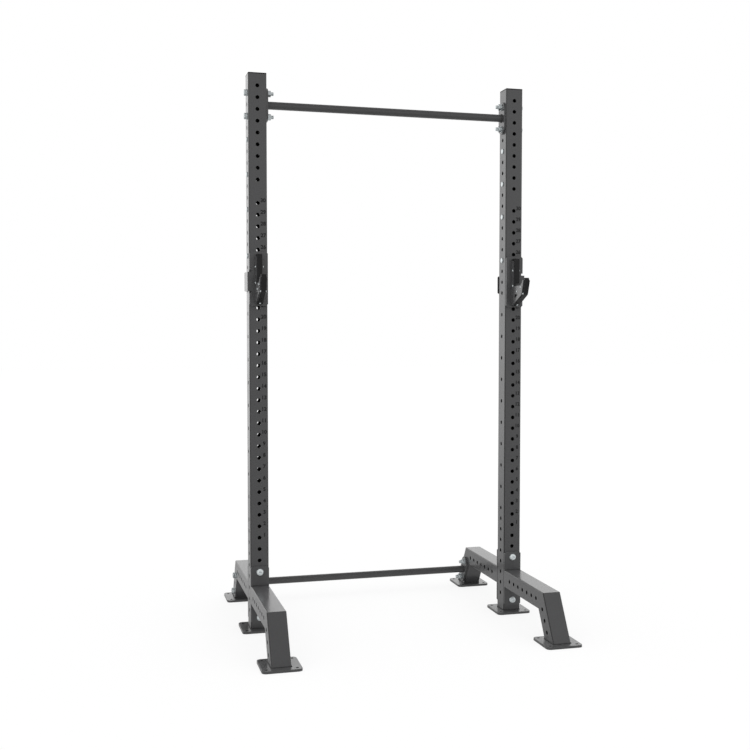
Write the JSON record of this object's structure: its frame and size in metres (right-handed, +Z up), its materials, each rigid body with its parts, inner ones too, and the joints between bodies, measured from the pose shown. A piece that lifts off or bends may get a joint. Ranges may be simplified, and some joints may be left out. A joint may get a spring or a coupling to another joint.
{
  "type": "squat stand",
  "caption": "Free-standing squat stand: drilled square uprights on splayed bolted bases, a pull-up bar, a floor bar and twist-in J-hooks that carry a barbell.",
  "frame": {"origin": "on the floor, midway between the uprights and between the front and rear feet", "axes": "+Z up the uprights, +X to the right seen from the front, +Y from the front (the J-hook side) to the rear"},
  "size_m": [1.34, 1.2472, 2.415],
  "materials": {
    "coat": "satin charcoal powder coat",
    "zinc": "bright zinc plate",
    "black_plastic": "matte black"
  },
  "bodies": {
    "frame": {"pull_up_bar": "coat", "floor_bar": "coat", "bar_bolts": "zinc", "bracket_bolts": "zinc", "washers": "zinc", "nuts": "zinc", "left_upright": "coat", "left_top_cap": "black_plastic", "left_hole_plugs": "zinc", "left_front_foot": "coat", "left_upright_foot": "coat", "left_rear_foot": "coat", "left_front_bracket": "coat", "left_front_beam": "coat", "left_front_leg": "coat", "left_rear_bracket": "coat", "left_rear_beam": "coat", "left_rear_leg": "coat", "left_pull_up_bar_flange": "coat", "left_floor_bar_flange": "coat", "right_upright": "coat", "right_top_cap": "black_plastic", "right_hole_plugs": "zinc", "right_front_foot": "coat", "right_upright_foot": "coat", "right_rear_foot": "coat", "right_front_bracket": "coat", "right_front_beam": "coat", "right_front_leg": "coat", "right_rear_bracket": "coat", "right_rear_beam": "coat", "right_rear_leg": "coat", "right_pull_up_bar_flange": "coat", "right_floor_bar_flange": "coat"},
    "left_j_hook": {"left_hook_body": "coat", "left_hook_liner": "black_plastic", "left_hook_pin": "zinc", "left_hook_strap": "coat", "left_hook_strap_liner": "black_plastic", "left_hook_core": "black_plastic", "left_hook_cheeks": "coat", "left_hook_screws": "zinc"},
    "right_j_hook": {"right_hook_body": "coat", "right_hook_liner": "black_plastic", "right_hook_pin": "zinc", "right_hook_strap": "coat", "right_hook_strap_liner": "black_plastic", "right_hook_core": "black_plastic", "right_hook_cheeks": "coat", "right_hook_screws": "zinc"}
  },
  "joints": [
    {"name": "left_hook_twist", "type": "hinge", "parent": "frame", "child": "left_j_hook", "pos_m": [-0.59, -0.04, 1.61], "axis": [0, 1, 0], "range_deg": [0, 90]},
    {"name": "right_hook_twist", "type": "hinge", "parent": "frame", "child": "right_j_hook", "pos_m": [0.59, -0.04, 1.61], "axis": [0, -1, 0], "range_deg": [0, 90]}
  ]
}
